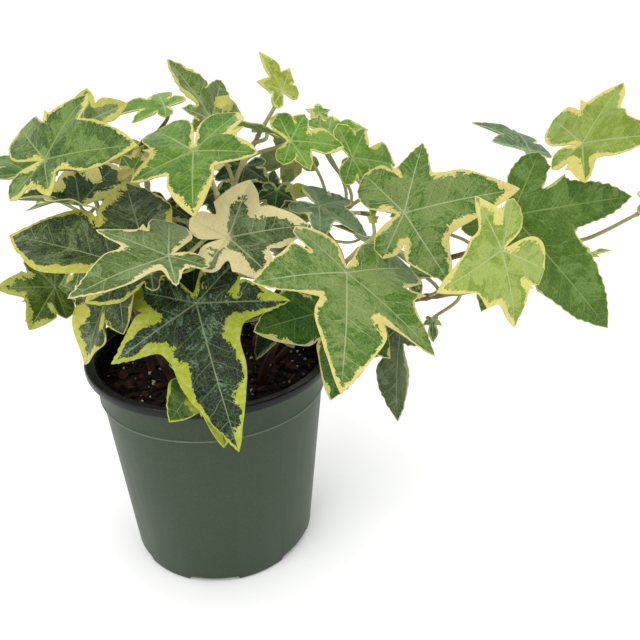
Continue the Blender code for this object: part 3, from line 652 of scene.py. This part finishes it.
def marginCurve(spec, number, side, dip, steps, seed):  # from the dip between two lobes to this lobe's tip
    angle, length = leafAngles(spec)[number], spec["lobes"][number]
    shoulders = leafBlade["shoulders"]["round" if number in (0, 4) else spec["edge"]]
    line = [flatSpot(angle, out * length, side * aside * spec["slim"] * length) for out, aside in shoulders]
    tip = flatSpot(angle, length)
    way = dip.normalized()
    mirrored = (2 * line[0].dot(way) * way - line[0]).lerp(dip, 0.6)
    beyond = tip + (tip - line[-1]) * 0.6 + flatSpot(angle, 0, -side * 0.06 * length)
    points = [mirrored, dip, *line, tip, beyond]
    spans = len(points) - 3
    toothed = toothShare(spec, number, side, seed)
    waveLength, varyLength = leafBlade["edgeWaveLength"], leafBlade["toothVaryLength"]
    curve = []
    for step in range(steps + 1):
        share = step / steps
        point = alongCurve(points, (1 + share * spans) / (len(points) - 1))
        out = flatSpot(angle, 0, side)
        calm = min(1, 4 * share, 5 * (1 - share))
        wave = leafBlade["edgeWave"] * noise.noise(Vector((point.x / waveLength, point.y / waveLength, seed)))
        if spec["edge"] == "toothed":
            run = point.dot(flatSpot(angle, 1)) / leafBlade["toothLength"] + seed
            uneven = 0.7 + noise.noise(Vector((point.x / varyLength, point.y / varyLength, seed + 5)))
            wave += leafBlade["toothSize"] * uneven * (run % 1 - 0.5)
        else:
            run = point.dot(flatSpot(angle, 1)) / leafBlade["fineTooth"] + seed
            wave += leafBlade["fineToothSize"] * (run % 1 - 0.5) * min(1, max(0, 3 * share - 1.2)) * toothed
        curve.append(point + out * wave * calm)
    return curve


def makeLeaf(shape, layers, spec, seed):
    right, forward, up = leafAxes(spec["turn"])
    base = Vector(spec["at"])
    angles, lobes, dips = leafAngles(spec), spec["lobes"], leafDips(spec)
    made, rim = [], []
    for number, (angle, length) in enumerate(zip(angles, lobes)):
        fewest, most = leafBlade["rows"]
        rows = max(fewest, min(most, round(length / leafBlade["rowLength"])))
        for side, dip in ((-1, dips[number]), (1, dips[number + 1])):
            curve = marginCurve(spec, number, side, dip, rows * 4, seed)
            rim += curve
            toothed = toothShare(spec, number, side, seed)
            patch = bmesh.ops.create_grid(shape, x_segments=leafBlade["columns"], y_segments=rows,
                                          size=0.5)["verts"]
            for vert in patch:
                out, across = vert.co.y + 0.5, (vert.co.x + 0.5) ** 0.8
                rib = flatSpot(angle, out * length)
                spot = rib.lerp(curve[round(out * rows * 4)], across)
                vert.co = (spot.x, spot.y, 0)
                vert[layers["bare"]] = toothed * min(1, max(0, 3 * out - 0.9))
            made += patch
    bmesh.ops.remove_doubles(shape, verts=made, dist=0.01)
    made = [vert for vert in made if vert.is_valid]
    tree = kdtree.KDTree(len(rim))
    for index, spot in enumerate(rim):
        tree.insert((spot.x, spot.y, 0), index)
    tree.balance()
    ribs = [flatSpot(angle, 1) for angle in angles]
    for vert in made:
        x, y = vert.co.x, vert.co.y
        margin = tree.find((x, y, 0))[2]
        spot = Vector((x, y))
        alongs = [spot.dot(rib) for rib in ribs]
        fromRibs = [abs(spot.x * rib.y - spot.y * rib.x) if run > 0 else spot.length
                    for rib, run in zip(ribs, alongs)]
        nearest = min(range(5), key=lambda place: fromRibs[place])
        run, away = alongs[nearest], fromRibs[nearest]
        vert[layers["flat"]] = (x, y, seed)
        vert[layers["extra"]] = sum(
            width * math.exp(-((spot - flatSpot(degrees, reach)).length / radius) ** 2)
            for degrees, reach, radius, width in spec["cream"])
        vert[layers["fromMargin"]] = 0 if vert.is_boundary else margin
        vert[layers["ribPlace"]] = (run, away, run / lobes[nearest])
        groove = leafBlade["ribGroove"] * math.exp(-(away / leafBlade["ribWidth"]) ** 2) * min(1, margin / 3)
        side = (run - away * leafBlade["veinSlope"]) / leafBlade["veinSpacing"] * 36 / max(28, max(lobes))
        puff = leafBlade["pucker"] * abs(math.sin(math.pi * side)) * min(1, away / 3) * min(1, margin / 3)
        rough = Vector((x / leafBlade["rippleLength"], y / leafBlade["rippleLength"], seed))
        ripple = leafBlade["ripple"] * noise.noise(rough) * math.exp(-margin / 6) * min(1, max(lobes) / 30)
        height = bladeHeight(x, y, spec) - groove + puff + ripple
        vert.co = (base + x * right + y * forward + height * up) * mm
    lower = bmesh.ops.extrude_face_region(shape, geom=facesOf(made))["geom"]
    under = [item for item in lower if isinstance(item, bmesh.types.BMVert)]
    for vert in under:
        vert[layers["under"]] = 1
    bmesh.ops.translate(shape, verts=under, vec=-leafBlade["thick"] * mm * up)
    made += under
    coat = leafCoats[spec["coat"]]
    colours = {name: leafColour(colour) for name, colour in zip(coatColours, coat)}
    colours["edge"] = leafColour(coat[3], leafLight["creamShare"])
    marginWidth = coat[5] * (leafLight["listedShare"] if spec["cream"] else 1)
    for vert in made:
        for name, colour in colours.items():
            vert[layers[name]] = colour
        vert[layers["coatNumbers"]] = (marginWidth, *coat[6:])
    bmesh.ops.recalc_face_normals(shape, faces=facesOf(made))


leafStalks = {"radius": 1.7, "tipRadius": 0.8, "sides": 12, "steps": 60, "petioleRadius": 0.85,
              "petioleEnd": 0.7, "petioleTip": 0.7, "petioleSink": 0.35, "petioleAges": (1.2, 0.8),
              "petioleSides": 8, "petioleSteps": 14, "bow": 0.35, "knot": 0.45, "knotLength": 1.6,
              "stops": ((0.0, "3d2b1f"), (0.2, "5a4030"), (0.32, "84754c"), (0.42, "aea676"),
                        (0.75, "a0a264"), (1, "b0b67a")), "pink": "8d5a4c", "dots": "3b2a20"}


def makeRod(shape, layers, points, radii, sides, ages):  # a round stalk: a disc extruded from point to point
    ahead = (points[1] - points[0]).normalized()
    facing = ahead.to_track_quat("Z", "Y")
    made = bmesh.ops.create_circle(shape, cap_ends=True, segments=sides, radius=radii[0])["verts"]
    for vert in made:
        vert.co = points[0] + facing @ vert.co
        vert[layers["age"]] = ages[0]
    cap = made[0].link_faces[0]
    for step in range(1, len(points)):
        bent = (points[min(step + 1, len(points) - 1)] - points[step - 1]).normalized()
        swing = ahead.rotation_difference(bent)
        ahead = bent
        lifted = bmesh.ops.extrude_face_region(shape, geom=[cap])["geom"]
        if step > 1:
            bmesh.ops.delete(shape, geom=[cap], context="FACES_ONLY")
        cap = next(item for item in lifted if isinstance(item, bmesh.types.BMFace))
        for vert in cap.verts:
            vert.co = points[step] + swing @ (vert.co - points[step - 1]) * (radii[step] / radii[step - 1])
            vert[layers["age"]] = ages[step]
        made += cap.verts
    faces = facesOf(made)
    for face in faces:
        face.material_index = 1
    bmesh.ops.recalc_face_normals(shape, faces=faces)


def makeStalks(shape, layers, route, leaves):
    size = leafStalks
    knots = [spec["along"] for spec in leaves]
    length = sum((end - start).length for start, end in zip(route[1:], route[2:])) / mm
    points, radii, ages = [route[0]], [size["radius"] * mm], [0]
    for step in range(size["steps"] + 1):
        share = step / size["steps"]
        swell = sum(math.exp(-((share - knot) * length / size["knotLength"]) ** 2) for knot in knots)
        radius = size["radius"] + (size["tipRadius"] - size["radius"]) * share + size["knot"] * min(1, swell)
        points.append(alongCurve(route[1:], share))
        radii.append(radius * mm)
        ages.append(share)
    makeRod(shape, layers, points, radii, size["sides"], ages)
    for spec in leaves:
        forward, up = leafAxes(spec["turn"])[1:]
        start = alongCurve(route[1:], spec["along"])
        ahead = alongCurve(route[1:], min(spec["along"] + 0.02, 1))
        ahead -= alongCurve(route[1:], spec["along"] - 0.02)
        end = (Vector(spec["at"]) - size["petioleSink"] * up) * mm
        span = (end - start).length
        leave = start + size["bow"] * span * (ahead.normalized() + (end - start).normalized()).normalized()
        arrive = end - size["bow"] * span * (0.6 * forward + 0.8 * up)
        line = interpolate_bezier(start, leave, arrive, end, size["petioleSteps"] + 1)
        steps = range(size["petioleSteps"] + 1)
        narrower = size["petioleEnd"] - size["petioleRadius"]
        thin = [size["petioleRadius"] + narrower * step / size["petioleSteps"] for step in steps]
        thin[-1] *= size["petioleTip"]
        young, gain = size["petioleAges"]
        makeRod(shape, layers, line, [radius * mm for radius in thin], size["petioleSides"],
                [young + gain * step / size["petioleSteps"] for step in steps])


def makeLeafMaterial():
    # Ivy leaf, living: a waxy cuticle over angular patches of green and grey-green, with a cream margin and
    # pale ribs. Its scales are per mm of the flat leaf. Veins and flecks are a little coarser than life.
    material, add, shader = newMaterial("ivyLeafWaxyVariegated", IOR=1.45, Specular_IOR_Level=0.28)
    flat, coat, ribPlace = [add("Attribute", out="Vector", attribute_name=name)
                            for name in ("flat", "coatNumbers", "ribPlace")]
    margin, under, bare, extra = [add("Attribute", out="Fac", attribute_name=name)
                                  for name in ("fromMargin", "under", "bare", "extra")]
    darkGreen, midGreen, lightGreen, edgeCream, veinPale = [
        add("Attribute", out="Color", attribute_name=name) for name in coatColours]
    width, patches, mottle = [add("SeparateXYZ", coat, out=axis) for axis in "XYZ"]
    along, away, share = [add("SeparateXYZ", ribPlace, out=axis) for axis in "XYZ"]

    # cells between the fine veins, about 2.4 mm long, and larger fields of about 9 mm
    broad = add("TexNoise", flat, 0.085, 1.5)
    warp = add("VectorMath.SCALE", add("TexNoise", flat, 0.8, 3, 0.7, out="Color"), 2)
    bent = add("VectorMath.ADD", flat, warp)
    phase = add("Math.SUBTRACT", along, add("Math.MULTIPLY", away, 0.75))
    squeezed = add("Math.MULTIPLY", away, 0.4)
    apart = add("Math.MULTIPLY", broad, 30)
    streak = add("VectorMath.ADD", add("CombineXYZ", phase, squeezed, apart), warp)
    cell = add("TexVoronoi", streak, 0.42, out="Color")
    cellTone, cellOther = [add("SeparateColor", cell, out=part) for part in ("Red", "Green")]
    fleckTone = add("SeparateColor", add("TexVoronoi", streak, 1.1, out="Color"), out="Blue")
    fleckSwing = add("Math.SUBTRACT", fleckTone, 0.5)
    fieldTone = add("SeparateColor", add("TexVoronoi", bent, 0.12, out="Color"), out="Red")
    speckle = add("TexNoise", flat, 1.5, 3, 0.75)
    fine = add("TexNoise", flat, 0.55, 3)

    # margin: its width swings over the leaf, its inner border follows the cells, and a fine line always shows
    swing = add("MapRange.SMOOTHSTEP", broad, 0.4, 0.68, 0.12, 2.6)
    wide = add("Math.MULTIPLY_ADD", width, swing, extra)
    cellSwing = add("Math.SUBTRACT", cellOther, 0.5)
    for uneven, most, part in ((cellSwing, 2.2, 0.8), (fleckSwing, 1.3, 0.7)):
        depth = add("Math.MINIMUM", add("Math.MULTIPLY", wide, part), most)
        wide = add("Math.MULTIPLY_ADD", uneven, depth, wide)
    kept = add("Math.MULTIPLY_ADD", bare, -0.85, 1)
    reach = add("Math.MAXIMUM", add("Math.MULTIPLY", wide, kept), 0.28)
    inside = add("Math.SUBTRACT", margin, reach)

    # greens: the level of each field, broken up by its cells and flecks
    level = add("Math.MULTIPLY", cellTone, 0.32)
    for tone, part in ((fieldTone, 0.33), (broad, 0.5)):
        level = add("Math.MULTIPLY_ADD", tone, part, level)
    mixed = add("Math.MULTIPLY", fleckSwing, add("Math.MULTIPLY", mottle, 0.55))
    raised = add("Math.ADD", add("Math.ADD", level, patches), mixed)
    light = add("MapRange.SMOOTHSTEP", raised, 1.04, 1.12)
    border = add("MapRange.SMOOTHSTEP", inside, 2.6, 0.2, 0, 0.16)
    sunk = add("Math.SUBTRACT", add("Math.SUBTRACT", level, mixed), border)
    dark = add("MapRange.SMOOTHSTEP", sunk, 0.52, 0.44, 0, 0.92)
    colour = add("Mix.RGBA", dark, add("Mix.RGBA", light, midGreen, lightGreen), darkGreen)
    for low, high, least, gain, tint in ((0.49, 0.62, 0.45, 0.3, darkGreen),
                                         (0.50, 0.38, 0.55, -0.38, lightGreen)):
        spot = add("MapRange.SMOOTHSTEP", speckle, low, high)
        strength = add("Math.MULTIPLY_ADD", mottle, gain, least)
        colour = add("Mix.RGBA", add("Math.MULTIPLY", spot, strength), colour, tint)

    # veins: the lobes' ribs, side veins 7.4 mm apart that leave them at a slant, and the net between
    ribWidth = add("Math.MULTIPLY_ADD", share, -0.34, 0.52)
    rib = add("MapRange.SMOOTHSTEP", add("Math.DIVIDE", away, ribWidth), 1, 0.35)
    rib = add("Math.MULTIPLY", rib, add("MapRange.SMOOTHSTEP", share, 1.02, 0.75))
    run = add("Math.MULTIPLY_ADD", broad, 0.8, add("Math.DIVIDE", phase, 7.4))
    gap = add("Math.ABSOLUTE", add("Math.SUBTRACT", add("Math.FRACT", run), 0.5))
    fade = add("MapRange.SMOOTHSTEP", away, 13, 1.5, 0.25, 0.6)
    sideVein = add("Math.MULTIPLY", add("MapRange.SMOOTHSTEP", gap, 0.036, 0.008), fade)
    net = add("TexVoronoi", bent, 0.62, feature="DISTANCE_TO_EDGE")
    netLine = add("MapRange.SMOOTHSTEP", net, 0.09, 0.02, 0, 0.22)
    vein = add("Math.MAXIMUM", add("Math.MAXIMUM", rib, sideVein), netLine)
    colour = add("Mix.RGBA", add("Math.MULTIPLY", vein, 0.92), colour, veinPale)

    # cream, warmer in places, with a haze of light green, and the veins still faintly there
    warmth = add("MapRange.SMOOTHSTEP", fine, 0.4, 0.7, 0, 0.35)
    haze = add("MapRange.SMOOTHSTEP", speckle, 0.5, 0.7, 0, 0.3)
    warmCream = leafColour("f4ecb4", leafLight["creamShare"])
    cream = edgeCream
    for part, tint in ((warmth, warmCream), (haze, lightGreen), (add("Math.MULTIPLY", vein, 0.35), veinPale)):
        cream = add("Mix.RGBA", part, cream, tint)
    colour = add("Mix.RGBA", add("MapRange.SMOOTHSTEP", inside, 0.12, -0.08), colour, cream)

    # the lower face is paler and duller
    paler = add("Mix.RGBA", 0.5, colour, leafColour("a9b98c"))
    colour = add("Mix.RGBA", add("Math.MULTIPLY", under, 0.8), colour, paler)
    rough = add("MapRange.SMOOTHSTEP", fine, 0.3, 0.7, 0.4, 0.52)
    rough = add("Math.MULTIPLY_ADD", under, 0.2, rough)
    relief = add("MapRange.SMOOTHSTEP", net, 0, 0.22, 0, 0.5)
    for part, depth in ((sideVein, -0.6), (speckle, 0.25)):
        relief = add("Math.MULTIPLY_ADD", part, depth, relief)
    bump = add("Bump", Height=relief, Strength=0.55, Distance=0.0004)
    fill(shader, {"Base Color": colour, "Roughness": rough, "Normal": bump})
    return material


def makeStalkMaterial():
    # Ivy stalk: corky reddish brown below, olive above, and pale green to pink on the leaf stalks
    material, add, shader = newMaterial("ivyStalkBark", Roughness=0.55, Specular_IOR_Level=0.4)
    place = add("TexCoord", out="Object")
    grain = add("TexNoise", place, 900, 3)
    cloud = add("TexNoise", place, 110, 2)
    age = add("Attribute", out="Fac", attribute_name="age")
    shift = add("Math.ADD", age, add("MapRange", cloud, 0, 1, -0.25, 0.25))
    base = add("ValToRGB", add("Math.DIVIDE", shift, 2, use_clamp=True))
    stops = leafStalks["stops"]
    ramp = base.node.color_ramp
    while len(ramp.elements) < len(stops):
        ramp.elements.new(0.5)
    for element, (spot, colour) in zip(ramp.elements, stops):
        element.position = spot
        element.color = linear(colour)
    blush = add("MapRange", cloud, 0.5, 0.75, 0, 0.45)
    dot = add("MapRange", grain, 0.55, 0.7, 0, 0.3)
    for part, tint in ((blush, "pink"), (dot, "dots")):
        base = add("Mix.RGBA", part, base, linear(leafStalks[tint]))
    fill(shader, {"Base Color": base, "Normal": add("Bump", Height=grain, Strength=0.3, Distance=0.0004)})
    return material


ivyMaterials = makeLeafMaterial(), makeStalkMaterial()
leafCount = 0
for stemNumber, (stemName, ((foot, *bends), *leaves)) in enumerate(leafyStems.items()):
    shape = bmesh.new()
    kinds = shape.verts.layers
    layers = {name: kinds.float_vector.new(name) for name in ("flat", "ribPlace", "coatNumbers")}
    layers |= {name: kinds.float.new(name) for name in ("fromMargin", "under", "age", "bare", "extra")}
    layers |= {name: kinds.float_color.new(name) for name in coatColours}
    route = [*[(*foot, height) for height in stemFoot], *bends]
    makeStalks(shape, layers, [Vector(point) * mm for point in route], leaves)
    for place, spec in enumerate(leaves):
        makeLeaf(shape, layers, spec, stemNumber * 10 + place * 3.7 + 0.5)
    leafCount += len(leaves)
    finishPiece(stemName.replace("stem", "ivy"), shape, ivyMaterials, "ivy", stemName, sharp=50)
print("ivy:", len(leafyStems), "stems and", leafCount, "leaves")
